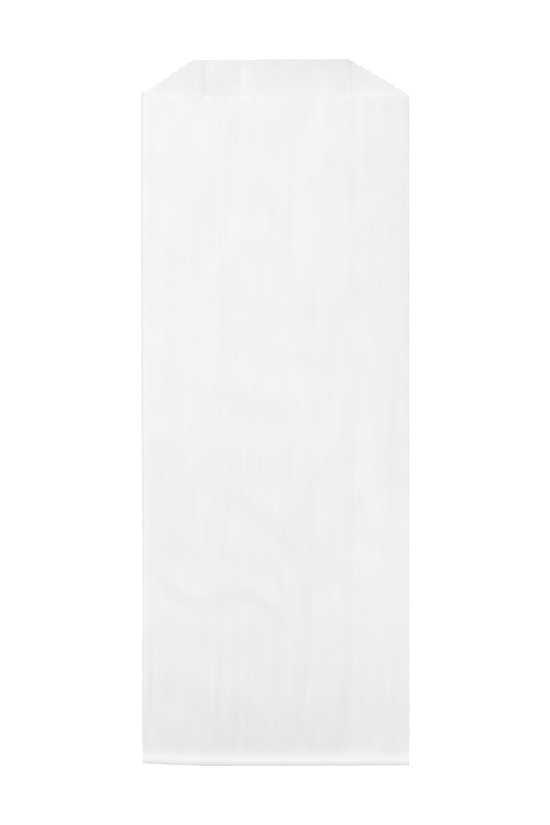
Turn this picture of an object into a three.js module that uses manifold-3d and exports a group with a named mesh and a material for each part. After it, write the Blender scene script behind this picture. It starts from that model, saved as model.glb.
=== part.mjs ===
// A gusseted paper bag for one hot dog, empty and lying on its back, slightly puffed.
// +Y runs from the folded bottom to the mouth, and +Z up from the surface that it lies on.
// It is one sheet: a tube with a pleat down each side, pasted along a seam in its back panel. Its
// lower end is folded back and pasted to the back panel, and its mouth is cut with toothed knives.

import * as THREE from "three";
import Module from "manifold-3d";

// The tube, in millimetres
const PANEL_WIDTH = 88.9; // front and back panels, between their outer creases
const LEFT_GUSSET_DEPTH = 20.4;
const RIGHT_GUSSET_DEPTH = 19;
const FRONT_HEIGHT = 222; // bottom fold to the front panel's cut edge
const PAPER = 0.08; // thickness of the sheet
const LAYER_GAP = 0.05; // air between layers that are pressed together

// The knife: the back panel and the gussets stand past the front panel, with slanting corners
const LIP_HEIGHT = 12.8;
const SLANT_START = 0.7; // from the front cut to the slanting cuts, at the outer creases
const LEFT_SLANT_RUN = 17.4;
const RIGHT_SLANT_RUN = 19.9;
const FRONT_TOOTH_PITCH = 4.3;
const SLANT_TOOTH_PITCH = 3.1; // along the slanting cut
const TOOTH_DEPTH = 0.5;

// The long seam in the back panel, where the sheet's two side edges overlap
const SEAM_OFFSET = 4.85; // left gusset's inner crease to the edge of the seam's outer layer
const SEAM_OVERLAP = 10;
const SEAM_JOG_RUN = 1.4; // width over which the inner layer climbs on to the outer one
const SEAM_EDGE_CLEARANCE = 0.2;
const SEAM_PASTE_MARGIN = 1.5;

// The bottom: the flattened tube turns back under itself
const FOLD_INNER_RADIUS = 0.25; // middle of the innermost layer
const FLAP_CLOSING_RUN = 2; // length over which the flap comes up against the back panel
const FLAP_PRESSED_LENGTH = 2.4; // from there to the cut of the flap's shorter layers
const FLAP_STEP_MARGIN = 1; // from that cut to the step where the longer layer is pressed on
const FLAP_STEP_RUN = 1.8;
const FLAP_PASTE_MARGIN = 1.2;
const CORNER_LIFT = 1; // how far the bottom fold runs up at its left end
const CORNER_RUN = 29;
const CORNER_FADE = 40;

// The puff: how the layers part above the pressed bottom edge
const PRESSED_LENGTH = 2.9;
const CROWN_RISE = 4.4; // middle of the front panel above its outer creases
const CROWN_GROWTH = 58; // length over which about two thirds of that is reached
const CROWN_ONSET = 1.3; // above 1, it begins gently at the pressed edge
const CROWN_POWER = 3; // above 2, the crown is flatter in the middle than an arch
const EDGE_OPENING = 3.3; // front creases above the back ones
const EDGE_GROWTH = 19;
const EDGE_ONSET = 1.3;
const GUSSET_LIFT = 0.06; // how far the inner creases rise, as a share of the edge opening
const MOUTH_DROP = 0.35; // how far the front panel dips at its cut edge
const MOUTH_DROP_RUN = 45;
const OUTER_CREASE_RADIUS = 0.25;
const INNER_CREASE_RADIUS = 0.12;
const CREASE_GROWTH = 30;

// The back panel: down from the bottom fold to the surface, and up again along the lip
const REST_START = 46;
const LIP_CURL = 0.4;
const LIP_CURL_RUN = 18;

// How finely the sheet is divided
const CREASE_STEPS = 4;
const FOLD_STEPS = 7;
const PANEL_STEPS = 5; // across the panel between the gussets' inner creases
const GUSSET_STEPS = 3;
const LENGTH_STEPS = 13;
const LENGTH_STEP_RATIO = 1.2; // each step up the bag to the one below it
const LIP_SHARES = [0.4, 0.75];
const LEAST_STEP = 0.8;
const LEAST_TOOTH_STEP = 0.15;
const TOOTH_MARGIN = 0.7;
const NUDGE = 0.01;

const HALF_WIDTH = PANEL_WIDTH / 2;
const LAYER_PITCH = PAPER + LAYER_GAP;
const STACK = 3 * LAYER_PITCH; // back panel to front panel where all four layers are pressed
const FOLD_OUTER_RADIUS = FOLD_INNER_RADIUS + STACK + PAPER / 2;
const FOLD_RADIUS = FOLD_INNER_RADIUS + STACK / 2;
const HALF_TURN = Math.PI * FOLD_RADIUS;
const SHORT_FLAP_LENGTH = FLAP_CLOSING_RUN + FLAP_PRESSED_LENGTH;
const FLAP_LENGTH = SHORT_FLAP_LENGTH + LIP_HEIGHT;
const SEAM_OUTER_EDGE = SEAM_OFFSET - (HALF_WIDTH - LEFT_GUSSET_DEPTH);
const SEAM_INNER_EDGE = SEAM_OUTER_EDGE + SEAM_OVERLAP;
const SEAM_JOG_START = SEAM_OUTER_EDGE - SEAM_JOG_RUN;
const SEAM_JOG_END = SEAM_OUTER_EDGE - SEAM_EDGE_CLEARANCE;
const FRONT_END = FRONT_HEIGHT - FOLD_OUTER_RADIUS;
const FLAP_END = -HALF_TURN - FLAP_LENGTH;
const CURL_START = FRONT_END + LIP_HEIGHT - LIP_CURL_RUN;
const QUARTER_TURN = Math.PI / 2;

const SIDES = {
  left: { sign: -1, gusset: LEFT_GUSSET_DEPTH, slant: LEFT_SLANT_RUN },
  right: { sign: 1, gusset: RIGHT_GUSSET_DEPTH, slant: RIGHT_SLANT_RUN },
};
const sideAt = (x) => (x < 0 ? SIDES.left : SIDES.right);

const { clamp, lerp } = THREE.MathUtils;
const share = (value, start, run) => clamp((value - start) / run, 0, 1);

// v is the distance along the sheet: 0 where the bottom fold begins, growing to the mouth, and
// negative round the fold and along the flap. This is how far the layers have parted there.
function parted(v, growth, onset = 1) {
  return v > PRESSED_LENGTH ? 1 - Math.exp(-(((v - PRESSED_LENGTH) / growth) ** onset)) : 0;
}

const edgeHeight = (v) => STACK + EDGE_OPENING * parted(v, EDGE_GROWTH, EDGE_ONSET);
const innerHeight = (v) => lerp(STACK / 2, edgeHeight(v) - STACK / 2, GUSSET_LIFT);
const creaseRadius = (open) => (v) => lerp(LAYER_PITCH / 2, open, parted(v, CREASE_GROWTH));
const outerRadius = creaseRadius(OUTER_CREASE_RADIUS);
const innerRadius = creaseRadius(INNER_CREASE_RADIUS);

// Height of the back panel's middle surface above what the bag lies on.
function backHeight(v) {
  const start = 2 * FOLD_INNER_RADIUS + STACK + PAPER / 2;
  const down = lerp(start, PAPER / 2, share(v, 0, REST_START - FOLD_OUTER_RADIUS));
  return down + LIP_CURL * share(v, CURL_START, LIP_CURL_RUN) ** 2;
}

function cornerLift(x, v) {
  const across = share(-x, HALF_WIDTH - CORNER_RUN, CORNER_RUN);
  return CORNER_LIFT * across ** 2 * (1 - share(Math.abs(v), 0, CORNER_FADE));
}

// The point at x across the bag, distance v along the sheet and height h above the back panel.
function place(x, v, h) {
  const lift = cornerLift(x, v);
  if (v >= 0) {
    return new THREE.Vector3(x, FOLD_OUTER_RADIUS + v + lift, backHeight(v) + h);
  }
  if (v > -HALF_TURN) {
    const turn = -v / FOLD_RADIUS;
    const radius = FOLD_INNER_RADIUS + h;
    const y = FOLD_OUTER_RADIUS - radius * Math.sin(turn) + lift;
    return new THREE.Vector3(x, y, FOLD_OUTER_RADIUS + radius * Math.cos(turn));
  }
  const along = -v - HALF_TURN;
  const gap = lerp(2 * FOLD_INNER_RADIUS, LAYER_PITCH, share(along, 0, FLAP_CLOSING_RUN));
  return new THREE.Vector3(x, FOLD_OUTER_RADIUS + along + lift, backHeight(along) - gap - h);
}

// On the flap, the front panel's paper stands past the other layers and is pressed on to the back.
function pressedOn(x, v) {
  const lipEdge = HALF_WIDTH - sideAt(x).slant;
  const across = share(lipEdge - Math.abs(x), FLAP_STEP_MARGIN, FLAP_STEP_RUN);
  const along = share(-v - HALF_TURN, SHORT_FLAP_LENGTH + FLAP_STEP_MARGIN, FLAP_STEP_RUN);
  return across * along;
}

function frontHeight(x, v) {
  const across = Math.min(Math.abs(x) / HALF_WIDTH, 1);
  const drop = MOUTH_DROP * share(v, FRONT_END - MOUTH_DROP_RUN, MOUTH_DROP_RUN) ** 2;
  const crown = CROWN_RISE * parted(v, CROWN_GROWTH, CROWN_ONSET) - drop;
  return edgeHeight(v) * (1 - pressedOn(x, v)) + crown * (1 - across ** CROWN_POWER);
}

// Left of the seam, the sheet climbs on to the layer that comes from the right.
function seamHeight(x) {
  return LAYER_PITCH * share(x, SEAM_JOG_START, SEAM_JOG_END - SEAM_JOG_START);
}

// Each half of a gusset runs straight from its outer crease in to the inner crease that they share,
// which lies low, so that the back half stays near the back panel and the front half slopes.
function gussetHeight(side, half, x, v) {
  const front = half === "front";
  const outer = front ? edgeHeight(v) - 2 * outerRadius(v) : 2 * outerRadius(v);
  const inner = innerHeight(v) + (front ? innerRadius(v) : -innerRadius(v));
  const run = side.gusset - outerRadius(v) - innerRadius(v);
  return lerp(outer, inner, (HALF_WIDTH - outerRadius(v) - Math.abs(x)) / run);
}

// A knife with whole teeth over a run that rises along the sheet. The teeth of a slanting cut lean,
// so that they stand square to it.
function knife(run, rise, pitch) {
  const stretch = Math.hypot(1, rise / run);
  const count = Math.max(1, Math.round((run * stretch) / pitch));
  const climb = 0.5 - ((rise / run) * TOOTH_DEPTH * count) / (stretch * run);
  const reach = (TOOTH_DEPTH / 2) * stretch;
  const wave = (distance) => {
    const phase = ((distance / run) * count) % 1;
    if (phase < climb / 2) return (reach * phase) / (climb / 2);
    if (phase > 1 - climb / 2) return (reach * (phase - 1)) / (climb / 2);
    return reach * (1 - (2 * phase - climb) / (1 - climb));
  };
  const corners = [];
  for (let tooth = 0; tooth < count; tooth++) {
    corners.push(((tooth + climb / 2) * run) / count, ((tooth + 1 - climb / 2) * run) / count);
  }
  return { wave, corners };
}

const frontKnife = knife(PANEL_WIDTH, 0, FRONT_TOOTH_PITCH);
for (const side of Object.values(SIDES)) {
  side.knife = knife(side.slant, LIP_HEIGHT - SLANT_START, SLANT_TOOTH_PITCH);
}

// How far past the straight cut each layer ends, without its teeth and with them.
function cutRise(cut, x) {
  if (cut === "front") return 0;
  return lerp(SLANT_START, LIP_HEIGHT, share(HALF_WIDTH - Math.abs(x), 0, sideAt(x).slant));
}

function toothedRise(cut, x) {
  const inward = HALF_WIDTH - Math.abs(x);
  if (cut === "front") return frontKnife.wave(clamp(HALF_WIDTH + x, 0, PANEL_WIDTH));
  const { slant, knife } = sideAt(x);
  return cutRise(cut, x) + (inward < slant ? knife.wave(inward) : 0);
}

// The corners of each cut between two places across the bag, in the order that they are met.
const cutCorners = { front: frontKnife.corners.map((distance) => distance - HALF_WIDTH), back: [] };
for (const { sign, slant, knife } of Object.values(SIDES)) {
  for (const inward of [...knife.corners, slant]) {
    cutCorners.back.push(sign * (HALF_WIDTH - inward));
  }
}

function cornersBetween(cut, from, to) {
  const low = Math.min(from, to) + LEAST_TOOTH_STEP;
  const high = Math.max(from, to) - LEAST_TOOTH_STEP;
  const direction = Math.sign(to - from);
  return cutCorners[cut].filter((x) => x > low && x < high).sort((a, b) => direction * (a - b));
}

// A column is a line along the sheet, from the flap's end to the mouth. Its at(v) gives the place
// across the bag and the height above the back panel.
function panelColumn(cut, x, height) {
  return { cut, x, at: (v) => ({ x, h: height(x, v) }) };
}

// A crease turns about a centre that moves with v. Its first and last columns meet the panels.
function creaseColumns(cut, side, centre, radius, start, end) {
  const columns = [];
  for (let step = 0; step <= CREASE_STEPS; step++) {
    const angle = lerp(start, end, step / CREASE_STEPS);
    const at = (v) => {
      const middle = centre(v);
      const x = side.sign * (middle.x + radius(v) * Math.cos(angle));
      return { x, h: middle.h + radius(v) * Math.sin(angle) };
    };
    columns.push({ cut, x: at(0).x, at });
  }
  return columns;
}

const outerX = (v) => HALF_WIDTH - outerRadius(v);
const backCrease = (v) => ({ x: outerX(v), h: outerRadius(v) });
const frontCrease = (v) => ({ x: outerX(v), h: edgeHeight(v) - outerRadius(v) });
const innerCrease = (side) => (v) => {
  return { x: HALF_WIDTH - side.gusset + innerRadius(v), h: innerHeight(v) };
};

// The wanted places that lie between low and high, the first ones kept where two are too close.
function spread(wanted, low, high) {
  const kept = [];
  for (const x of wanted) {
    const clear = [low, high, ...kept].every((other) => Math.abs(other - x) >= LEAST_STEP);
    if (clear && x > low && x < high) kept.push(x);
  }
  return kept.sort((a, b) => a - b);
}

const OUTERMOST = HALF_WIDTH - OUTER_CREASE_RADIUS;
const stepPlaces = [];
const panelPlaces = [];
for (const { sign, gusset, slant } of Object.values(SIDES)) {
  const stepStart = HALF_WIDTH - slant - FLAP_STEP_MARGIN;
  stepPlaces.push(sign * stepStart, sign * (stepStart - FLAP_STEP_RUN));
  for (let step = 1; step <= GUSSET_STEPS; step++) {
    panelPlaces.push(sign * (HALF_WIDTH - (gusset * step) / GUSSET_STEPS));
  }
}
for (let step = 1; step < PANEL_STEPS; step++) {
  const left = LEFT_GUSSET_DEPTH - HALF_WIDTH;
  panelPlaces.push(lerp(left, HALF_WIDTH - RIGHT_GUSSET_DEPTH, step / PANEL_STEPS));
}

function gussetColumns(side, half) {
  const inner = HALF_WIDTH - side.gusset + INNER_CREASE_RADIUS;
  const places = panelPlaces.filter((x) => sideAt(x) === side).map(Math.abs);
  return spread(places, inner, OUTERMOST).map((distance) => {
    return panelColumn("back", side.sign * distance, (x, v) => gussetHeight(side, half, x, v));
  });
}

// From the seam's inner edge, left under the bag, round its left side, over its front, round its
// right side, and back under it to the seam's outer edge.
function sheetColumns() {
  const { left, right } = SIDES;
  const jog = [SEAM_JOG_START, SEAM_JOG_END];
  const backLeft = [...spread([...jog, ...panelPlaces], -OUTERMOST, SEAM_INNER_EDGE), SEAM_INNER_EDGE];
  const backRight = [SEAM_OUTER_EDGE, ...spread(panelPlaces, SEAM_OUTER_EDGE, OUTERMOST)];
  const front = spread([...stepPlaces, ...panelPlaces], -OUTERMOST, OUTERMOST);
  const down = -QUARTER_TURN;
  const up = QUARTER_TURN;
  const insideDown = 3 * QUARTER_TURN;
  return [
    ...backLeft.reverse().map((x) => panelColumn("back", x, seamHeight)),
    ...creaseColumns("back", left, backCrease, outerRadius, down, up),
    ...gussetColumns(left, "back").reverse(),
    ...creaseColumns("back", left, innerCrease(left), innerRadius, insideDown, up),
    ...gussetColumns(left, "front"),
    ...creaseColumns("front", left, frontCrease, outerRadius, down, up),
    ...front.map((x) => panelColumn("front", x, frontHeight)),
    ...creaseColumns("front", right, frontCrease, outerRadius, up, down),
    ...gussetColumns(right, "front").reverse(),
    ...creaseColumns("back", right, innerCrease(right), innerRadius, up, insideDown),
    ...gussetColumns(right, "back"),
    ...creaseColumns("back", right, backCrease, outerRadius, up, down),
    ...backRight.reverse().map((x) => panelColumn("back", x, () => 0)),
  ];
}

// The rows of a column, as distances along the sheet. The first and last stay short of the teeth.
function rowsOf({ cut, x }) {
  const clearance = TOOTH_DEPTH + TOOTH_MARGIN;
  const flapRow = FLAP_END + cutRise(cut, x) + clearance;
  const lipRow = FRONT_END + cutRise(cut, x) - clearance;
  const closed = -HALF_TURN - FLAP_CLOSING_RUN;
  const stepStart = FLAP_PRESSED_LENGTH + FLAP_STEP_MARGIN;
  const longest = FLAP_PRESSED_LENGTH + LIP_HEIGHT - clearance;
  const rows = [flapRow];
  for (const distance of [stepStart + FLAP_STEP_RUN, stepStart, 0]) {
    rows.push(lerp(closed, flapRow, distance / longest));
  }
  for (let step = FOLD_STEPS; step >= 0; step--) rows.push(-(HALF_TURN * step) / FOLD_STEPS);
  const whole = LENGTH_STEP_RATIO ** LENGTH_STEPS - 1;
  for (let step = 0; step <= LENGTH_STEPS; step++) {
    rows.push(lerp(PRESSED_LENGTH, CURL_START, (LENGTH_STEP_RATIO ** step - 1) / whole));
  }
  for (const part of [...LIP_SHARES, 1]) rows.push(lerp(CURL_START, lipRow, part));
  return rows;
}

// The sheet's two faces, from pairs of points half the paper's thickness either side of its middle.
function foldedSheet() {
  const columns = sheetColumns();
  const last = columns.length - 1;
  const points = [];
  const triangles = [];

  const middleAt = (index, part, v) => {
    const from = columns[index].at(v);
    const to = columns[Math.min(index + 1, last)].at(v);
    return place(lerp(from.x, to.x, part), v, lerp(from.h, to.h, part));
  };
  const addPair = (index, part, v) => {
    const before = middleAt(part > 0 ? index : Math.max(index - 1, 0), 0, v);
    const across = middleAt(Math.min(index + 1, last), 0, v).sub(before);
    const along = middleAt(index, part, v + NUDGE).sub(middleAt(index, part, v - NUDGE));
    const offset = across.cross(along).setLength(PAPER / 2);
    points.push(middleAt(index, part, v).add(offset), middleAt(index, part, v).sub(offset));
    return points.length / 2 - 1;
  };
  const addFaces = (a, b, c) => {
    triangles.push([2 * a, 2 * b, 2 * c], [2 * a + 1, 2 * c + 1, 2 * b + 1]);
  };
  const addRim = (a, b) => {
    triangles.push([2 * a, 2 * b, 2 * b + 1], [2 * a, 2 * b + 1, 2 * a + 1]);
  };

  const grid = columns.map((column, index) => rowsOf(column).map((v) => addPair(index, 0, v)));
  const topRow = grid[0].length - 1;
  for (let index = 0; index < last; index++) {
    for (let row = 1; row < topRow - 1; row++) {
      addFaces(grid[index][row], grid[index + 1][row], grid[index + 1][row + 1]);
      addFaces(grid[index][row], grid[index + 1][row + 1], grid[index][row + 1]);
    }
  }

  // Past its last full row, the sheet is divided finely enough for the teeth. The flap's end is wound
  // the other way round from the mouth.
  const addToothedEnd = (fullRow, row, base, addFace, addEdge) => {
    const cutPairs = columns.map(({ cut, x }, index) => addPair(index, 0, base + toothedRise(cut, x)));
    for (let index = 0; index < last; index++) {
      const [column, next] = [columns[index], columns[index + 1]];
      const cut = column.cut === next.cut ? column.cut : "back";
      const clearance = rowsOf(column)[row] - base - cutRise(column.cut, column.x);
      const edge = cornersBetween(cut, column.x, next.x).map((x) => {
        const part = (x - column.x) / (next.x - column.x);
        const rowPair = addPair(index, part, base + cutRise(cut, x) + clearance);
        return { part, row: rowPair, cut: addPair(index, part, base + toothedRise(cut, x)) };
      });
      edge.unshift({ part: 0, row: grid[index][row], cut: cutPairs[index] });
      edge.push({ part: 1, row: grid[index + 1][row], cut: cutPairs[index + 1] });
      let turn = 0;
      for (let step = 1; step < edge.length; step++) {
        const [from, to] = [edge[step - 1], edge[step]];
        addFace(from.row, to.row, to.cut);
        addFace(from.row, to.cut, from.cut);
        addEdge(from.cut, to.cut);
        const nearFirst = from.part + to.part < 1;
        addFace(grid[nearFirst ? index : index + 1][fullRow], to.row, from.row);
        if (nearFirst) turn = step;
      }
      addFace(grid[index][fullRow], grid[index + 1][fullRow], edge[turn].row);
    }
    return cutPairs;
  };
  const lip = addToothedEnd(topRow - 1, topRow, FRONT_END, addFaces, addRim);
  const flapFace = (a, b, c) => addFaces(a, c, b);
  const flap = addToothedEnd(1, 0, FLAP_END, flapFace, (a, b) => addRim(b, a));

  const firstSide = [flap[0], ...grid[0], lip[0]];
  const lastSide = [flap[last], ...grid[last], lip[last]];
  for (let row = 1; row < firstSide.length; row++) {
    addRim(firstSide[row - 1], firstSide[row]);
    addRim(lastSide[row], lastSide[row - 1]);
  }
  return { points, triangles };
}

// A block of paste between two layers, through corners given for each row.
function pasteBlock(rows) {
  const points = rows.flat();
  const triangles = [];
  const addQuad = (a, b, c, d) => triangles.push([a, b, c], [a, c, d]);
  addQuad(0, 1, 2, 3);
  for (let row = 0; row + 1 < rows.length; row++) {
    for (let corner = 0; corner < 4; corner++) {
      const next = (corner + 1) % 4;
      addQuad(4 * row + next, 4 * row + corner, 4 * row + 4 + corner, 4 * row + 4 + next);
    }
  }
  const end = 4 * (rows.length - 1);
  addQuad(end + 3, end + 2, end + 1, end);
  return { points, triangles };
}

// Corners at two places across the bag and two heights, in order round the block.
function pasteRow(v, left, right, low, high) {
  return [place(left, v, low), place(right, v, low), place(right, v, high), place(left, v, high)];
}

// Paste reaches a quarter of the paper's thickness past the faces that it joins.
const PASTE_LOW = PAPER / 4;
const PASTE_HIGH = LAYER_PITCH - PAPER / 4;

function seamPaste() {
  const left = SEAM_OUTER_EDGE + SEAM_PASTE_MARGIN;
  const right = SEAM_INNER_EDGE - SEAM_PASTE_MARGIN;
  const rows = rowsOf({ cut: "back", x: left });
  return pasteBlock(rows.map((v) => pasteRow(v, left, right, PASTE_LOW, PASTE_HIGH)));
}

function flapPaste() {
  const left = SEAM_OUTER_EDGE + SEAM_PASTE_MARGIN;
  const stepEnd = FLAP_STEP_MARGIN + FLAP_STEP_RUN + FLAP_PASTE_MARGIN;
  const right = HALF_WIDTH - RIGHT_SLANT_RUN - stepEnd;
  const ends = [SHORT_FLAP_LENGTH + stepEnd, FLAP_LENGTH - TOOTH_DEPTH - FLAP_PASTE_MARGIN];
  return pasteBlock(ends.map((v) => pasteRow(v, left, right, -PASTE_HIGH, -PASTE_LOW)));
}

const wasm = await Module();
wasm.setup();

function solidOf({ points, triangles }) {
  const vertProperties = new Float32Array(points.flatMap((point) => point.toArray()));
  const triVerts = new Uint32Array(triangles.flat());
  return new wasm.Manifold(new wasm.Mesh({ numProp: 3, vertProperties, triVerts }));
}

function geometryOf(solid) {
  const { vertProperties, triVerts } = solid.getMesh();
  const geometry = new THREE.BufferGeometry();
  geometry.setAttribute("position", new THREE.BufferAttribute(vertProperties, 3));
  geometry.setIndex(new THREE.BufferAttribute(triVerts, 1));
  geometry.computeVertexNormals();
  return geometry;
}

const solid = wasm.Manifold.union([foldedSheet(), seamPaste(), flapPaste()].map(solidOf));
const whitePaper = new THREE.MeshStandardMaterial({ color: 0xf2f2f2, roughness: 0.8, metalness: 0 });
const paperBag = new THREE.Mesh(geometryOf(solid), whitePaper);
paperBag.name = "paper_bag";
// The origin is under the middle of the bag's length.
paperBag.position.y = -(FRONT_HEIGHT + LIP_HEIGHT) / 2;

const bag = new THREE.Group();
bag.add(paperBag);
export default bag;
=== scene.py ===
import math
from collections import namedtuple

import bmesh
import bpy
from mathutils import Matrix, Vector, noise


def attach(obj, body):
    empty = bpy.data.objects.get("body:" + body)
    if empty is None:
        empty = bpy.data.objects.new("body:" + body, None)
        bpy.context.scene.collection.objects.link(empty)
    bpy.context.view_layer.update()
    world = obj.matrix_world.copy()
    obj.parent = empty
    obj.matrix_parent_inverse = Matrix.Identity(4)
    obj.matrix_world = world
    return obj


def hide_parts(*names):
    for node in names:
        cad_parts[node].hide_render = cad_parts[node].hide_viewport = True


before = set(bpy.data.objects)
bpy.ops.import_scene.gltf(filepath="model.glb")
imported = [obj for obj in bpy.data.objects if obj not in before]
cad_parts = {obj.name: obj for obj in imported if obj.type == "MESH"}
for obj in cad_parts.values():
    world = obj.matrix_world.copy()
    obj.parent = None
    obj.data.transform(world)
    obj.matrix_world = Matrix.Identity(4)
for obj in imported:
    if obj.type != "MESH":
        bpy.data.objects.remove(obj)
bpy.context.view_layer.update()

# One paper bag lies on its back on a white table, its mouth towards +Y. It is a single sheet, so
# it starts as a flat grid, one column for each line along the paper, and every column is folded
# to its place. All sizes are in metres: x runs across the bag, v along the sheet from the bottom
# fold towards the mouth, and h up from the back panel.

# The tube
PANEL_WIDTH = 0.0889
RIGHT_LEAN = 0.00055
GUSSET_DEPTH = {"left": 0.0204, "right": 0.019}
FRONT_HEIGHT = 0.222
PAPER = 0.00008
LAYER_GAP = 0.00001

# The knives
LIP_HEIGHT = 0.0128
SLANT_START = 0.0007
SLANT_RUN = {"left": 0.0174, "right": 0.0199}
FRONT_TOOTH_PITCH = 0.0043
SLANT_TOOTH_PITCH = 0.0031
TOOTH_DEPTH = 0.0005
TOOTH_MARGIN = 0.0007
LEFT_TIP = 0.002

# The knife rolls the front panel's edge down, most at the tips of its teeth
TOOTH_ROLL = 0.00005
TOOTH_ROLL_SWING = 0.9
TOOTH_ROLL_RUN = 0.0018

# The seam under the bag, whose free edge lifts a little in the lip
SEAM_OFFSET = 0.00485
SEAM_OVERLAP = 0.01
SEAM_JOG_RUN = 0.0014
SEAM_EDGE_CLEARANCE = 0.0002
SEAM_LIFT = 0.00002
SEAM_LIFT_RUN = 0.0018

# The bottom fold and its flap, and the left corner, which stands a little short
FOLD_INNER_RADIUS = 0.0001
FLAP_CLOSING_RUN = 0.002
FLAP_PRESSED_LENGTH = 0.0024
FLAP_STEP_MARGIN = 0.001
FLAP_STEP_RUN = 0.0018
CORNER_LIFT = 0.001
CORNER_RUN = 0.029
CORNER_FADE = 0.04

# Over the bottom fold the front panel bulges, and where the fold's press ends it steps up
FOLD_BULGE = 0.00005
FOLD_BULGE_MIDDLE = 0.0013
FOLD_BULGE_WIDTH = 0.0016
FOLD_BULGE_START = 0.001
PRESS_STEP = 0.00008
PRESS_STEP_RUN = 0.0014

# The puff
PRESSED_LENGTH = 0.0029
CROWN_RISE = 0.0044
CROWN_GROWTH = 0.07
CROWN_ONSET = 2
CROWN_POWER = 3
EDGE_OPENING = 0.0033
EDGE_GROWTH = 0.019
EDGE_ONSET = 1.3
GUSSET_LIFT = 0.06
MOUTH_DROP = 0.00015
MOUTH_DROP_RUN = 0.045
OUTER_CREASE_RADIUS = 0.00025
INNER_CREASE_RADIUS = 0.00012
CREASE_GROWTH = 0.03
REST_START = 0.075

# The lip, all of whose layers curl up together and stand free past the front cut
LIP_CURL = 0.00063
LIP_CURL_RUN = 0.018
LIP_CURL_POWER = 3
LIP_REST = 0.00006
FREE_MARGIN = 0.002
FREE_RUN = 0.009
GUSSET_CLOSING_MARGIN = 0.004
GUSSET_CLOSING_RUN = 0.005
LEFT_GUSSET_SAG = 0.25
SAG_MARGIN = 0.001

# How finely the sheet is divided
CREASE_STEPS = 4
CREASE_GUARD = 0.00006
FOLD_STEPS = 8
FOLD_ROWS = [0.0004, 0.0008, 0.0012, 0.0018, 0.0023]
FLAP_CLOSING_ROWS = 3
FRONT_STEP = 0.0011
HIDDEN_STEP = 0.0022
ROW_STEP = 0.0016
SHARP_ANGLE = math.radians(50)

HALF_WIDTH = PANEL_WIDTH / 2
LAYER_PITCH = PAPER + LAYER_GAP
STACK = 3 * LAYER_PITCH
FOLD_OUTER_RADIUS = FOLD_INNER_RADIUS + STACK + PAPER / 2
FOLD_RADIUS = FOLD_INNER_RADIUS + STACK / 2
HALF_TURN = math.pi * FOLD_RADIUS
SHORT_FLAP_LENGTH = FLAP_CLOSING_RUN + FLAP_PRESSED_LENGTH
FLAP_LENGTH = SHORT_FLAP_LENGTH + LIP_HEIGHT
SEAM_OUTER_EDGE = SEAM_OFFSET - (HALF_WIDTH - GUSSET_DEPTH["left"])
SEAM_INNER_EDGE = SEAM_OUTER_EDGE + SEAM_OVERLAP
SEAM_JOG_START = SEAM_OUTER_EDGE - SEAM_JOG_RUN
SEAM_JOG_END = SEAM_OUTER_EDGE - SEAM_EDGE_CLEARANCE
FRONT_END = FRONT_HEIGHT - FOLD_OUTER_RADIUS
FLAP_END = -HALF_TURN - FLAP_LENGTH
CURL_START = FRONT_END + LIP_HEIGHT - LIP_CURL_RUN
BOTTOM_Y = -(FRONT_HEIGHT + LIP_HEIGHT) / 2
SHEET_WIDTH = 2 * PANEL_WIDTH + 2 * sum(GUSSET_DEPTH.values()) + SEAM_OVERLAP
SHEET_LENGTH = FRONT_END + LIP_HEIGHT - FLAP_END
OUTERMOST = HALF_WIDTH - OUTER_CREASE_RADIUS
LEFT_INNER_CREASE = GUSSET_DEPTH["left"] - HALF_WIDTH
SIGN = {"left": -1, "right": 1}


def mix(start, end, part):
    return start + (end - start) * part


def share(value, start, run):
    return min(max((value - start) / run, 0), 1)


def bell(value, middle, width):
    return math.exp(-(((value - middle) / width) ** 2))


def side_at(x):
    return "left" if x < 0 else "right"


# A straight band of the sheet, strongest along its middle line: a height in metres, or a share
Band = namedtuple("Band", "middle width amount")


def band_at(band, distance):
    return band.amount * bell(distance, band.middle, band.width)


# Smooth unevenness of about the height, in patches of a width across the sheet and a length along
# it, taken from one layer of the noise
Ripple = namedtuple("Ripple", "height width length layer")


def ripple_at(ripple, x, v):
    return ripple.height * noise.noise(Vector((x / ripple.width, v / ripple.length, ripple.layer)))


# The folds

def parted(v, growth, onset=1):
    """How far the layers have parted at v, from 0 where they are pressed together to 1."""
    return 1 - math.exp(-(((v - PRESSED_LENGTH) / growth) ** onset)) if v > PRESSED_LENGTH else 0


def edge_height(v):
    return STACK + EDGE_OPENING * parted(v, EDGE_GROWTH, EDGE_ONSET)


def sprung(v):
    """How far a gusset's inner crease springs from the back panel: not at all in the lip."""
    return 1 - share(v, FRONT_END - GUSSET_CLOSING_MARGIN, GUSSET_CLOSING_RUN)


def inner_height(v):
    return mix(STACK / 2, edge_height(v) - STACK / 2, GUSSET_LIFT * sprung(v))


def outer_radius(v):
    return mix(LAYER_PITCH / 2, OUTER_CREASE_RADIUS, parted(v, CREASE_GROWTH))


def inner_radius(v):
    return mix(LAYER_PITCH / 2, INNER_CREASE_RADIUS, parted(v, CREASE_GROWTH) * sprung(v))


def back_height(v):
    start = 2 * FOLD_INNER_RADIUS + STACK + PAPER / 2
    return mix(start, PAPER / 2, share(v, 0, REST_START - FOLD_OUTER_RADIUS))


# The lip curls less left of its middle and more towards its right corner
CURL_DIP = Band(-0.021, 0.013, -0.6)
CURL_GAIN = 0.5
CURL_GAIN_START = 0.012
CURL_GAIN_RUN = 0.03
LIP_SPRING = Band(LEFT_INNER_CREASE - 0.0004, 0.0015, 0.00032)
LIP_WAVES = [Band(-0.017, 0.006, 0.0003), Band(-0.0105, 0.004, -0.00035)]
LIP_RIPPLE = Ripple(0.00008, 0.0035, 0.03, 4.7)


def free_share(v):
    return share(v, FRONT_END - FREE_MARGIN, FREE_RUN)


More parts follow.
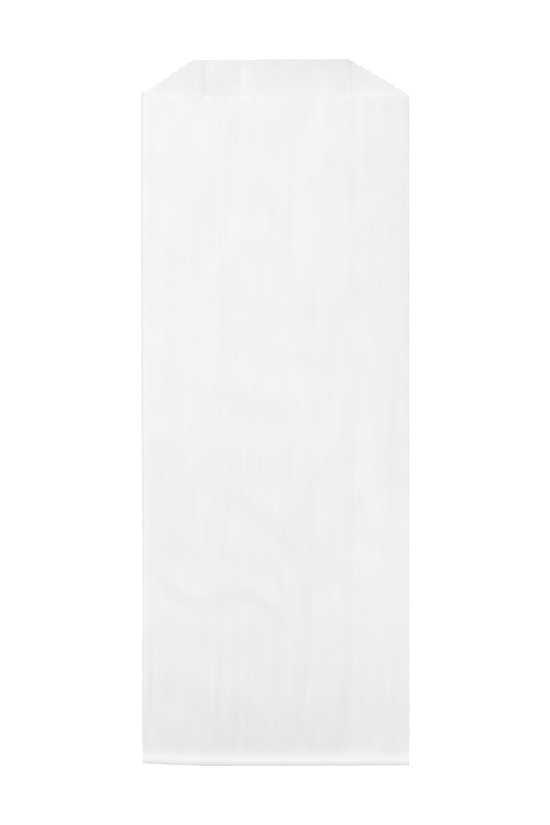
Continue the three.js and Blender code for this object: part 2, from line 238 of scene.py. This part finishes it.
def lip_height(x, v):
    """How the paper that stands past the front cut curls and waves, all its layers together."""
    uneven = 1 + band_at(CURL_DIP, x) + CURL_GAIN * share(x, CURL_GAIN_START, CURL_GAIN_RUN)
    curl = LIP_CURL * uneven * share(v, CURL_START, LIP_CURL_RUN) ** LIP_CURL_POWER
    waves = band_at(LIP_SPRING, x) + free_share(v) * sum(band_at(wave, x) for wave in LIP_WAVES)
    rest = LIP_REST + LIP_RIPPLE.height + ripple_at(LIP_RIPPLE, x, v)
    return curl + free_share(v) * (waves + rest)


def corner_lift(x, v):
    across = share(-x, HALF_WIDTH - CORNER_RUN, CORNER_RUN)
    return CORNER_LIFT * across ** 2 * (1 - share(abs(v), 0, CORNER_FADE))


def place(x, v, h):
    """The point at x across the bag, v along the sheet and h above the back panel."""
    base = BOTTOM_Y + FOLD_OUTER_RADIUS + corner_lift(x, v)
    x += RIGHT_LEAN * share(x, 0, HALF_WIDTH) * share(v, 0, FRONT_END)
    if v >= 0:
        return Vector((x, base + v, back_height(v) + lip_height(x, v) + h))
    if v > -HALF_TURN:
        turn = -v / FOLD_RADIUS
        radius = FOLD_INNER_RADIUS + h
        return Vector((x, base - radius * math.sin(turn), FOLD_OUTER_RADIUS + radius * math.cos(turn)))
    along = -v - HALF_TURN
    gap = mix(2 * FOLD_INNER_RADIUS, LAYER_PITCH, share(along, 0, FLAP_CLOSING_RUN))
    return Vector((x, base + along, back_height(along) - gap - h))


def pressed_on(x, v):
    """How far the flap's end, where only the front panel's paper reaches, lies on the back panel."""
    lip_edge = HALF_WIDTH - SLANT_RUN[side_at(x)]
    across = share(lip_edge - abs(x), FLAP_STEP_MARGIN, FLAP_STEP_RUN)
    return across * share(-v - HALF_TURN, SHORT_FLAP_LENGTH + FLAP_STEP_MARGIN, FLAP_STEP_RUN)


# The front panel's small creases and dents, from the bag's making and handling

# A crease along the sheet from start to end, whose middle may lean, and which rises or falls by
# its height
Line = namedtuple("Line", "middle lean width height start end")
LINE_FADE = 0.01
LINES = [
    Line(-0.0255, 0, 0.0009, -0.0001, 0, 0.24),
    Line(-0.0185, 0, 0.0006, 0.0001, 0, 0.24),
    Line(-0.0092, 0, 0.001, 0.00005, 0, 0.24),
    Line(0.0041, 0, 0.0012, 0.00015, 0.155, 0.202),
    Line(-0.0221, 0, 0.0009, 0.00014, 0.185, 0.24),
    Line(-0.0134, -0.28, 0.0011, -0.00014, 0.2, 0.24),
    Line(-0.0422, 0, 0.0013, 0.00022, 0.02, 0.24),
]

# A dent that runs across the sheet: below its line the paper is pushed in, and above it stands out
Dent = namedtuple("Dent", "middle start reach tilt bow width height")
DENTS = [
    Dent(-0.0317, 0.0562, 0.012, -0.64, 24, 0.0045, 0.00027),
    Dent(-0.0068, 0.0555, 0.011, -0.53, -40, 0.0045, 0.00024),
    Dent(-0.0034, 0.0811, 0.013, -0.8, -18, 0.006, 0.00027),
    Dent(-0.037, 0.104, 0.007, 0.2, 0, 0.007, 0.00018),
    Dent(-0.006, 0.118, 0.011, -0.3, 0, 0.008, 0.00016),
]

# Along the right gusset's inner crease the panel drops, and it climbs slowly again from there
SHELF_EDGE = 0.0258
SHELF_RUN = 0.0046
SHELF_DROP = 0.0003

# The paper is fluted along the sheet, more so just above the bottom fold, and warped all over
FLUTES = [Ripple(0.00018, 0.0034, 0.045, 2.3), Ripple(0.00009, 0.0016, 0.03, 8.9)]
FLUTED_FOOT = Band(0.022, 0.013, 1.4)
WARP = Ripple(0.00014, 0.009, 0.014, 5.1)
RELIEF_START_RUN = 0.006
RELIEF_SIDE_RUN = 0.0015


def line_height(line, x, v):
    seen = share(v, line.start, LINE_FADE) * share(line.end - v, 0, LINE_FADE)
    middle = line.middle + line.lean * (v - (line.start + line.end) / 2)
    return line.height * seen * bell(x, middle, line.width)


def dent_height(dent, x, v):
    aside = x - dent.middle
    up = (v - dent.start - dent.tilt * aside - dent.bow * aside ** 2) / dent.width
    return dent.height * up * math.exp(-(up ** 2)) * bell(aside, 0, dent.reach)


def shelf_drop(x):
    drop = SHELF_DROP * share(x, SHELF_EDGE - SHELF_RUN, SHELF_RUN) ** 2
    return drop * share(HALF_WIDTH - x, 0, HALF_WIDTH - SHELF_EDGE)


def knife_roll(x, v):
    tooth = math.sin(2 * math.pi * (x + HALF_WIDTH) * front_knife.count / PANEL_WIDTH)
    near_cut = share(v, FRONT_END - TOOTH_ROLL_RUN, TOOTH_ROLL_RUN)
    return TOOTH_ROLL * (1 + TOOTH_ROLL_SWING * tooth) * near_cut ** 2


def front_relief(x, v):
    """What creases, dents and flutes add to the front panel's smooth height."""
    beside_crease = share(HALF_WIDTH - abs(x), OUTER_CREASE_RADIUS, RELIEF_SIDE_RUN)
    loose = share(v, PRESSED_LENGTH, RELIEF_START_RUN) * beside_crease
    relief = sum(line_height(line, x, v) for line in LINES)
    relief += sum(dent_height(dent, x, v) for dent in DENTS)
    relief -= shelf_drop(x)
    relief += (1 + band_at(FLUTED_FOOT, v)) * sum(ripple_at(flute, x, v) for flute in FLUTES)
    relief += ripple_at(WARP, x, v)
    relief += PRESS_STEP * (1 - math.exp(-max(v - PRESSED_LENGTH, 0) / PRESS_STEP_RUN))
    return loose * relief - knife_roll(x, v)


def front_height(x, v):
    across = min(abs(x) / HALF_WIDTH, 1)
    drop = MOUTH_DROP * share(v, FRONT_END - MOUTH_DROP_RUN, MOUTH_DROP_RUN) ** 2
    crown = CROWN_RISE * parted(v, CROWN_GROWTH, CROWN_ONSET) - drop
    height = edge_height(v) * (1 - pressed_on(x, v)) + crown * (1 - across ** CROWN_POWER)
    bulge = FOLD_BULGE * share(v, 0, FOLD_BULGE_START) * bell(v, FOLD_BULGE_MIDDLE, FOLD_BULGE_WIDTH)
    return height + bulge + front_relief(x, v)


def seam_height(x, v):
    lift = SEAM_LIFT * (share(x, SEAM_INNER_EDGE - SEAM_LIFT_RUN, SEAM_LIFT_RUN) * free_share(v)) ** 2
    return LAYER_PITCH * share(x, SEAM_JOG_START, SEAM_JOG_END - SEAM_JOG_START) + lift


def flat_height(x, v):
    return 0


def gusset_height(side, half):
    """The height of one half of a gusset, which runs straight from its outer crease to its inner."""
    def height(x, v):
        outer = 2 * outer_radius(v)
        inner = inner_height(v) - inner_radius(v)
        if half == "front":
            outer = edge_height(v) - outer
            if side == "left":
                outer *= 1 - LEFT_GUSSET_SAG * share(v, FRONT_END - SAG_MARGIN, LIP_HEIGHT)
            inner = inner_height(v) + inner_radius(v)
        run = GUSSET_DEPTH[side] - outer_radius(v) - inner_radius(v)
        return mix(outer, inner, (HALF_WIDTH - outer_radius(v) - abs(x)) / run)
    return height


# The cuts

class Knife:
    """Whole teeth over a run that rises along the sheet, and lean to stand square to the cut."""

    def __init__(self, run, rise, pitch):
        stretch = math.hypot(1, rise / run)
        self.run = run
        self.count = max(1, round(run * stretch / pitch))
        self.climb = 0.5 - (rise / run) * TOOTH_DEPTH * self.count / (stretch * run)
        self.reach = TOOTH_DEPTH / 2 * stretch

    def wave(self, distance):
        phase = distance / self.run * self.count % 1
        if phase < self.climb / 2:
            return self.reach * phase / (self.climb / 2)
        if phase > 1 - self.climb / 2:
            return self.reach * (phase - 1) / (self.climb / 2)
        return self.reach * (1 - (2 * phase - self.climb) / (1 - self.climb))

    def corners(self):
        width = self.run / self.count
        for tooth in range(self.count):
            yield (tooth + self.climb / 2) * width
            yield (tooth + 1 - self.climb / 2) * width


front_knife = Knife(PANEL_WIDTH, 0, FRONT_TOOTH_PITCH)
front_corners = [distance - HALF_WIDTH for distance in front_knife.corners()]
slant_knives = {}
slant_corners = []
for side, run in SLANT_RUN.items():
    knife = Knife(run, LIP_HEIGHT - SLANT_START, SLANT_TOOTH_PITCH)
    slant_knives[side] = knife
    slant_corners += [SIGN[side] * (HALF_WIDTH - distance) for distance in knife.corners()]
    slant_corners.append(SIGN[side] * (HALF_WIDTH - run))


def cut_rise(cut, x):
    """How far the cut stands past the front panel's, teeth left out."""
    if cut == "front":
        return 0
    rise = mix(SLANT_START, LIP_HEIGHT, share(HALF_WIDTH - abs(x), 0, SLANT_RUN[side_at(x)]))
    return max(rise, LEFT_TIP) if x < 0 else rise


def toothed_rise(cut, x):
    if cut == "front":
        return front_knife.wave(min(max(HALF_WIDTH + x, 0), PANEL_WIDTH))
    knife = slant_knives[side_at(x)]
    inward = HALF_WIDTH - abs(x)
    return cut_rise(cut, x) + (knife.wave(inward) if inward < knife.run else 0)


# Grey and painted light at the creases: a fold greyed all through has 1, and one painted lighter has
# less than 0.
# The left inner and right front creases carry painted highlights over their shaded sides, the right
# inner crease painted shade in its crevice, and the left outer creases and the right back one a darker
# line.
CREASE_GREY_AND_LIGHT = {
    ("left", "back"): 0.5,
    ("left", "inner"): -1.5,
    ("left", "front"): 0.3,
    ("right", "front"): -1.5,
    ("right", "inner"): 0.2,
    ("right", "back"): 0.3,
}
CREASE_PAINT_START = 0.12
LEFT_EDGE_GREY = Band(0.00055 - HALF_WIDTH, 0.00035, 1)
# The front panel's right side is darkened with painted shade
RIGHT_SIDE_PAINTED_SHADE = 0.12
RIGHT_SIDE_START = 0.022
RIGHT_SIDE_RUN = 0.016
# Painted shade beside the gussets' inner creases, and a painted highlight along the seam's free edge
LEFT_BACK_PAINTED_SHADE = Band(-0.0232, 0.0008, 0.35)
RIGHT_BACK_PAINTED_SHADES = [Band(0.0251, 0.0003, 0.6), Band(0.0235, 0.0003, 0.3)]
SEAM_EDGE_PAINTED_HIGHLIGHT = Band(SEAM_INNER_EDGE - 0.0004, 0.001, -0.45)
# Painted shade along the bottom fold's upper edge, and a painted highlight underneath
FOLD_PAINTED_SHADE = Band(0.0003, 0.0004, 1)
FOLD_PAINTED_HIGHLIGHT = 1.5
FOLD_HIGHLIGHT_START = 0.0001
# Painted shade on the front panel's lower left, and a painted highlight on its lower right
SIDE_LIGHT_ROWS = Band(0.083, 0.04, 1)
SIDE_PAINTED_LIGHTS = [Band(-0.037, 0.008, 0.28), Band(0.031, 0.007, -0.2)]


def panel_grey_and_shade(x):
    """The front panel is greyed beside its left crease, and darkened with painted shade along its right
    side.
    """
    return band_at(LEFT_EDGE_GREY, x) + RIGHT_SIDE_PAINTED_SHADE * share(x, RIGHT_SIDE_START, RIGHT_SIDE_RUN)


def back_painted_light(x):
    """Painted shade beside the gussets' inner creases, twice on the right, and a painted highlight along
    the seam's free edge.
    """
    return sum(band_at(band, x) for band in [LEFT_BACK_PAINTED_SHADE, *RIGHT_BACK_PAINTED_SHADES, SEAM_EDGE_PAINTED_HIGHLIGHT])


def painted_light_and_grey(v):
    """Painted shade along the bottom fold's upper edge, and a painted highlight on its underside."""
    return band_at(FOLD_PAINTED_SHADE, v) if v >= 0 else -FOLD_PAINTED_HIGHLIGHT * share(-v, 0, FOLD_HIGHLIGHT_START)


def side_painted_light(x, v):
    """Painted shade on the front panel's lower left side, and a painted highlight on its lower right."""
    return band_at(SIDE_LIGHT_ROWS, v) * sum(band_at(band, x) for band in SIDE_PAINTED_LIGHTS)


# The columns, from the seam's inner edge round the bag to its outer edge. Marks are places where
# a column should lie, to catch a tooth's corner, a line or a narrow band.
MARK_STEP = 0.0006
SEAM_MARKS = [SEAM_JOG_START, SEAM_JOG_END]
SEAM_MARKS += [SEAM_INNER_EDGE - part * MARK_STEP for part in (1, 2, 3)]
SPRING_MARKS = [LEFT_INNER_CREASE + part * MARK_STEP for part in range(-4, 5)]
PAINTED_SHADE_MARKS = [band.middle + side * band.width for band in RIGHT_BACK_PAINTED_SHADES for side in (-1, 0, 1)]
LINE_SIDES = (-0.7, 0, 0.7)
LINE_MARKS = [line.middle + side * line.width for line in LINES for side in LINE_SIDES]
SHELF_MARK_STEP = 0.0004
SHELF_MARKS = [SHELF_EDGE + part * SHELF_MARK_STEP for part in (-1, 0, 1)]
EDGE_MARKS = [distance - OUTERMOST for distance in (0.0002, 0.0004, 0.0007)]


def stations(start, end, marks, step):
    """Places from start to end, both left out, through the marks and a step apart at most."""
    low, high = sorted((start, end))
    inside = sorted(x for x in marks if low + step / 4 < x < high - step / 4)
    places = []
    for begin, finish in zip([low] + inside, inside + [high]):
        parts = math.ceil((finish - begin) / step)
        places += [mix(begin, finish, part / parts) for part in range(parts)]
    places = places[1:]
    return places if start < end else places[::-1]


def guarded(start, end, marks, step):
    """Stations with one more close to each end, so that a crease's shading stays narrow."""
    guard = math.copysign(CREASE_GUARD, end - start)
    first, last = start + guard, end - guard
    return [first] + stations(first, last, marks, step) + [last]


# A line along the sheet: its cut, its place across the bag, that and its height at any distance v
# along the sheet, and how much grey, painted shade and painted highlight its fold carries
Column = namedtuple("Column", "cut x at wear")


def panel_columns(cut, places, height, wear=lambda x: 0):
    return [Column(cut, x, lambda v, x=x: (x, height(x, v)), wear(x)) for x in places]


def gusset_columns(side, half, outward):
    inner = HALF_WIDTH - GUSSET_DEPTH[side] + INNER_CREASE_RADIUS
    start, end = (inner, OUTERMOST) if outward else (OUTERMOST, inner)
    marks = slant_corners + SPRING_MARKS
    places = guarded(SIGN[side] * start, SIGN[side] * end, marks, HIDDEN_STEP)
    return panel_columns("back", places, gusset_height(side, half))


def crease_middle(side, kind, v):
    """Where the middle of a crease's bend is, across the bag and above the back panel."""
    if kind == "inner":
        return HALF_WIDTH - GUSSET_DEPTH[side] + inner_radius(v), inner_height(v)
    height = outer_radius(v) if kind == "back" else edge_height(v) - outer_radius(v)
    return HALF_WIDTH - outer_radius(v), height


def crease_columns(side, kind, start, end):
    """The columns round a crease, from one angle to another, both in quarter turns."""
    cut = "front" if kind == "front" else "back"
    radius = inner_radius if kind == "inner" else outer_radius
    columns = []
    for step in range(CREASE_STEPS + 1):
        angle = math.pi / 2 * mix(start, end, step / CREASE_STEPS)

        def at(v, angle=angle):
            middle_x, middle_h = crease_middle(side, kind, v)
            x = SIGN[side] * (middle_x + radius(v) * math.cos(angle))
            return x, middle_h + radius(v) * math.sin(angle)

        columns.append(Column(cut, at(0)[0], at, CREASE_GREY_AND_LIGHT[side, kind]))
    return columns


def sheet_columns():
    left_marks = slant_corners + SEAM_MARKS + SPRING_MARKS
    front_marks = front_corners + LINE_MARKS + SHELF_MARKS + EDGE_MARKS
    right_marks = slant_corners + PAINTED_SHADE_MARKS
    under_left = guarded(SEAM_INNER_EDGE, -OUTERMOST, left_marks, HIDDEN_STEP)
    over = guarded(-OUTERMOST, OUTERMOST, front_marks, FRONT_STEP)
    under_right = guarded(OUTERMOST, SEAM_OUTER_EDGE, right_marks, HIDDEN_STEP)
    columns = panel_columns("back", [SEAM_INNER_EDGE] + under_left, seam_height, back_painted_light)
    columns += crease_columns("left", "back", -1, 1)
    columns += gusset_columns("left", "back", outward=False)
    columns += crease_columns("left", "inner", 3, 1)
    columns += gusset_columns("left", "front", outward=True)
    columns += crease_columns("left", "front", -1, 1)
    columns += panel_columns("front", over, front_height, panel_grey_and_shade)
    columns += crease_columns("right", "front", 1, -1)
    columns += gusset_columns("right", "front", outward=False)
    columns += crease_columns("right", "inner", 1, 3)
    columns += gusset_columns("right", "back", outward=True)
    columns += crease_columns("right", "back", 1, -1)
    columns += panel_columns("back", under_right + [SEAM_OUTER_EDGE], flat_height, back_painted_light)
    return columns


# The rows

def filled(marks, step):
    """The marks, with equal steps between them of about the given size."""
    rows = [marks[0]]
    for start, end in zip(marks, marks[1:]):
        parts = max(1, round(abs(end - start) / step))
        rows += [mix(start, end, (part + 1) / parts) for part in range(parts)]
    return rows


# The rows next to a cut keep clear of its teeth, and those of the flap and the lip spread or
# close up with the cut, so they are shares of the way to it
CUT_CLEARANCE = TOOTH_DEPTH + TOOTH_MARGIN
FLAP_MARKS = [FLAP_PRESSED_LENGTH + LIP_HEIGHT - CUT_CLEARANCE]
FLAP_MARKS += [FLAP_PRESSED_LENGTH + FLAP_STEP_MARGIN + FLAP_STEP_RUN]
FLAP_MARKS += [FLAP_PRESSED_LENGTH + FLAP_STEP_MARGIN, 0]
FLAP_SHARES = [distance / FLAP_MARKS[0] for distance in filled(FLAP_MARKS, ROW_STEP)]
LIP_SHARES = filled([0, 1], ROW_STEP / (LIP_CURL_RUN - CUT_CLEARANCE))


def sheet_rows(cut, x):
    """The distances along the sheet of one column's points, from the flap's cut to the mouth's."""
    closed = -HALF_TURN - FLAP_CLOSING_RUN
    flap_row = FLAP_END + cut_rise(cut, x) + CUT_CLEARANCE
    lip_row = FRONT_END + cut_rise(cut, x) - CUT_CLEARANCE
    rows = [FLAP_END + toothed_rise(cut, x)]
    rows += [mix(closed, flap_row, part) for part in FLAP_SHARES]
    rows += filled([closed, -HALF_TURN], FLAP_CLOSING_RUN / FLAP_CLOSING_ROWS)[1:]
    rows += [-HALF_TURN * (1 - (step + 1) / FOLD_STEPS) for step in range(FOLD_STEPS)]
    rows += FOLD_ROWS
    rows += filled([PRESSED_LENGTH, CURL_START], ROW_STEP)
    rows += [mix(CURL_START, lip_row, part) for part in LIP_SHARES[1:]]
    rows.append(FRONT_END + toothed_rise(cut, x))
    return rows


def flat_places(columns):
    """How far each column is across the flat blank."""
    places = [0]
    for before, after in zip(columns, columns[1:]):
        places.append(places[-1] + math.dist(before.at(REST_START), after.at(REST_START)))
    return places


def fold_sheet():
    """The flat blank as a grid, folded column by column, then given the paper's thickness."""
    columns = sheet_columns()
    rows = [sheet_rows(column.cut, column.x) for column in columns]
    flat_x = flat_places(columns)
    across, along = len(columns), len(rows[0])
    blank = bmesh.new()
    bmesh.ops.create_grid(blank, x_segments=across - 1, y_segments=along - 1, size=0.5)
    flat = blank.loops.layers.uv.new("flat_sheet")
    grey_and_light_layer = blank.verts.layers.float.new("painted_light_and_grey")

    def grid_place(point):
        """The point's column and row in the grid, which is 1 wide, 1 long and centred."""
        return round((point.co.x + 0.5) * (across - 1)), round((point.co.y + 0.5) * (along - 1))

    for face in blank.faces:
        for loop in face.loops:
            column, row = grid_place(loop.vert)
            loop[flat].uv = (flat_x[column] / SHEET_WIDTH, (rows[column][row] - FLAP_END) / SHEET_LENGTH)
    for point in blank.verts:
        column, row = grid_place(point)
        v = rows[column][row]
        x, h = columns[column].at(v)
        # Painted highlights and painted shade at the creases, and darker lines at the outer ones
        crease_grey_and_light = columns[column].wear * share(v, 0, CREASE_PAINT_START)
        point[grey_and_light_layer] = crease_grey_and_light + painted_light_and_grey(v) + side_painted_light(x, v)
        point.co = place(x, v, h)
    mesh = bpy.data.meshes.new("bag_sheet")
    blank.to_mesh(mesh)
    blank.free()
    sheet = bpy.data.objects.new("bag_sheet", mesh)
    bpy.context.scene.collection.objects.link(sheet)
    thickness = sheet.modifiers.new("paper", "SOLIDIFY")
    thickness.thickness = PAPER
    thickness.offset = 0
    thickness.material_offset = 1
    return sheet


def set_as_one_mesh(piece):
    """Applies the piece's modifiers and keeps its cut edges sharp."""
    seen = piece.evaluated_get(bpy.context.evaluated_depsgraph_get())
    mesh = bpy.data.meshes.new_from_object(seen)
    piece.modifiers.clear()
    piece.data = mesh
    for face in mesh.polygons:
        face.use_smooth = True
    mesh.set_sharp_from_angle(angle=SHARP_ANGLE)


# The paper's finish. A pattern's size is across and along the sheet.
WHITENESS = 0.76
# How far one unit of the attribute's grey and painted shade darkens the paper; its negatives paint
# highlights
GREY_PER_UNIT = 0.07
CLOUD_SIZE = (0.004, 0.009)
STREAK_SIZE = (0.0009, 0.012)
MOTTLING = 0.008
SHEEN_SIZE = (0.004, 0.01)
SHEEN_SPREAD = 0.06
FIBRE_SIZE = (0.0005, 0.0009)
RIB_SIZE = (0.0012, 0.03)
RIB_SHARE = 1.5
FAINT_GLOSS = 0.12
NOISE_LOW = 0.3
NOISE_HIGH = 0.7


def bag_paper(name, roughness, fibre_height, layer):
    """White paper: clouded, with fine streaks along the sheet, fibres, and the attribute's grey lines,
    painted shade and painted highlights.
    """
    paper = bpy.data.materials.new(name)
    paper.use_nodes = True
    nodes, links = paper.node_tree.nodes, paper.node_tree.links
    shader = nodes["Principled BSDF"]
    shader.inputs["Specular IOR Level"].default_value = FAINT_GLOSS

    def add(kind, **settings):
        node = nodes.new(kind)
        for setting, value in settings.items():
            setattr(node, setting, value)
        return node

    flat = add("ShaderNodeUVMap", uv_map="flat_sheet")

    def pattern(size, detail, low, high):
        """Noise in patches of a size on the flat sheet, between two values."""
        sized = add("ShaderNodeMapping")
        sized.inputs["Location"].default_value = (0, 0, layer)
        sized.inputs["Scale"].default_value = (SHEET_WIDTH / size[0], SHEET_LENGTH / size[1], 1)
        links.new(flat.outputs["UV"], sized.inputs["Vector"])
        cloud = add("ShaderNodeTexNoise")
        cloud.inputs["Scale"].default_value = 1
        cloud.inputs["Detail"].default_value = detail
        links.new(sized.outputs["Vector"], cloud.inputs["Vector"])
        spread = add("ShaderNodeMapRange")
        spread.inputs["From Min"].default_value = NOISE_LOW
        spread.inputs["From Max"].default_value = NOISE_HIGH
        spread.inputs["To Min"].default_value = low
        spread.inputs["To Max"].default_value = high
        links.new(cloud.outputs["Fac"], spread.inputs["Value"])
        return spread.outputs["Result"]

    def combine(operation, first, second):
        node = add("ShaderNodeMath", operation=operation)
        for socket, value in zip(node.inputs, (first, second)):
            if isinstance(value, (int, float)):
                socket.default_value = value
            else:
                links.new(value, socket)
        return node.outputs["Value"]

    clouds = pattern(CLOUD_SIZE, 4, -MOTTLING, MOTTLING)
    streaks = pattern(STREAK_SIZE, 3, -MOTTLING, MOTTLING)
    # The attribute darkens the paper with grey lines and painted shade, and lightens it with painted
    # highlights
    wear = add("ShaderNodeAttribute", attribute_name="painted_light_and_grey")
    whiteness = combine("ADD", combine("ADD", clouds, streaks), WHITENESS)
    whiteness = combine("SUBTRACT", whiteness, combine("MULTIPLY", wear.outputs["Fac"], GREY_PER_UNIT))
    links.new(whiteness, shader.inputs["Base Color"])
    sheen = pattern(SHEEN_SIZE, 3, roughness - SHEEN_SPREAD, roughness + SHEEN_SPREAD)
    links.new(sheen, shader.inputs["Roughness"])

    fibres = combine("ADD", pattern(FIBRE_SIZE, 5, 0, 1), pattern(RIB_SIZE, 2, 0, RIB_SHARE))
    raised = add("ShaderNodeBump")
    raised.inputs["Distance"].default_value = fibre_height
    links.new(fibres, raised.inputs["Height"])
    links.new(raised.outputs["Normal"], shader.inputs["Normal"])
    return paper


bag = fold_sheet()
bag.data.materials.append(bag_paper("glazed_outside", roughness=0.72, fibre_height=0.000004, layer=1.5))
bag.data.materials.append(bag_paper("plain_inside", roughness=0.85, fibre_height=0.000006, layer=7.5))
set_as_one_mesh(bag)
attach(bag, "root")
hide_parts("paper_bag")


# The table, the lights and the camera

TABLE_REACH = 3
TABLE_DROP = 0.00002
TABLE_WHITENESS = 0.95
TABLE_ROUGHNESS = 0.9
TABLE_GLOW = 0.8
AIR_LIGHT = 0.4
WINDOW_PLACE = (-2.4, 18, 18)
WINDOW_SIZE = 12.8
WINDOW_POWER = 7650
CAMERA_HEIGHT = 1.6
SENSOR_WIDTH = 36
FRAME_HEIGHT_PIXELS = 825
PANEL_WIDTH_PIXELS = 267.7
CAMERA_ROLL = math.radians(-0.15)


def table_top():
    """A plain white table just under the bag, which glows a little, as a lit backdrop does."""
    top = bmesh.new()
    bmesh.ops.create_grid(top, x_segments=1, y_segments=1, size=TABLE_REACH)
    bmesh.ops.translate(top, verts=top.verts, vec=(0, 0, -TABLE_DROP))
    mesh = bpy.data.meshes.new("table_top")
    top.to_mesh(mesh)
    top.free()
    table = bpy.data.objects.new("table_top", mesh)
    bpy.context.scene.collection.objects.link(table)
    white = bpy.data.materials.new("white_table")
    white.use_nodes = True
    shader = white.node_tree.nodes["Principled BSDF"]
    shader.inputs["Base Color"].default_value = (TABLE_WHITENESS, TABLE_WHITENESS, TABLE_WHITENESS, 1)
    shader.inputs["Roughness"].default_value = TABLE_ROUGHNESS
    shader.inputs["Specular IOR Level"].default_value = 0
    shader.inputs["Emission Color"].default_value = (1, 1, 1, 1)
    shader.inputs["Emission Strength"].default_value = TABLE_GLOW
    mesh.materials.append(white)


def window_light():
    """A large soft light from beyond the mouth, a little to its left."""
    light = bpy.data.lights.new("window", "AREA")
    light.size = WINDOW_SIZE
    light.energy = WINDOW_POWER
    lamp = bpy.data.objects.new("window", light)
    lamp.location = WINDOW_PLACE
    lamp.rotation_euler = (-Vector(WINDOW_PLACE)).to_track_quat("-Z", "Y").to_euler()
    bpy.context.scene.collection.objects.link(lamp)


def studio_air():
    """Faint light from all round, and a background that is plain white to the camera."""
    world = bpy.data.worlds.new("studio_air")
    world.use_nodes = True
    background = world.node_tree.nodes["Background"]
    background.inputs["Color"].default_value = (1, 1, 1, 1)
    path = world.node_tree.nodes.new("ShaderNodeLightPath")
    strength = world.node_tree.nodes.new("ShaderNodeMapRange")
    strength.inputs["To Min"].default_value = AIR_LIGHT
    world.node_tree.links.new(path.outputs["Is Camera Ray"], strength.inputs["Value"])
    world.node_tree.links.new(strength.outputs["Result"], background.inputs["Strength"])
    bpy.context.scene.world = world


def overhead_camera():
    """Looks straight down. The sensor's width spans the frame's height, its longer side."""
    lens = bpy.data.cameras.new("overhead")
    frame_height = FRAME_HEIGHT_PIXELS * PANEL_WIDTH / PANEL_WIDTH_PIXELS
    lens.sensor_width = SENSOR_WIDTH
    lens.lens = SENSOR_WIDTH * CAMERA_HEIGHT / frame_height
    camera = bpy.data.objects.new("overhead", lens)
    camera.location = (0, 0, CAMERA_HEIGHT)
    camera.rotation_euler = (0, 0, CAMERA_ROLL)
    bpy.context.scene.collection.objects.link(camera)
    bpy.context.scene.camera = camera


table_top()
studio_air()
window_light()
overhead_camera()
bpy.context.scene.view_settings.view_transform = "Standard"
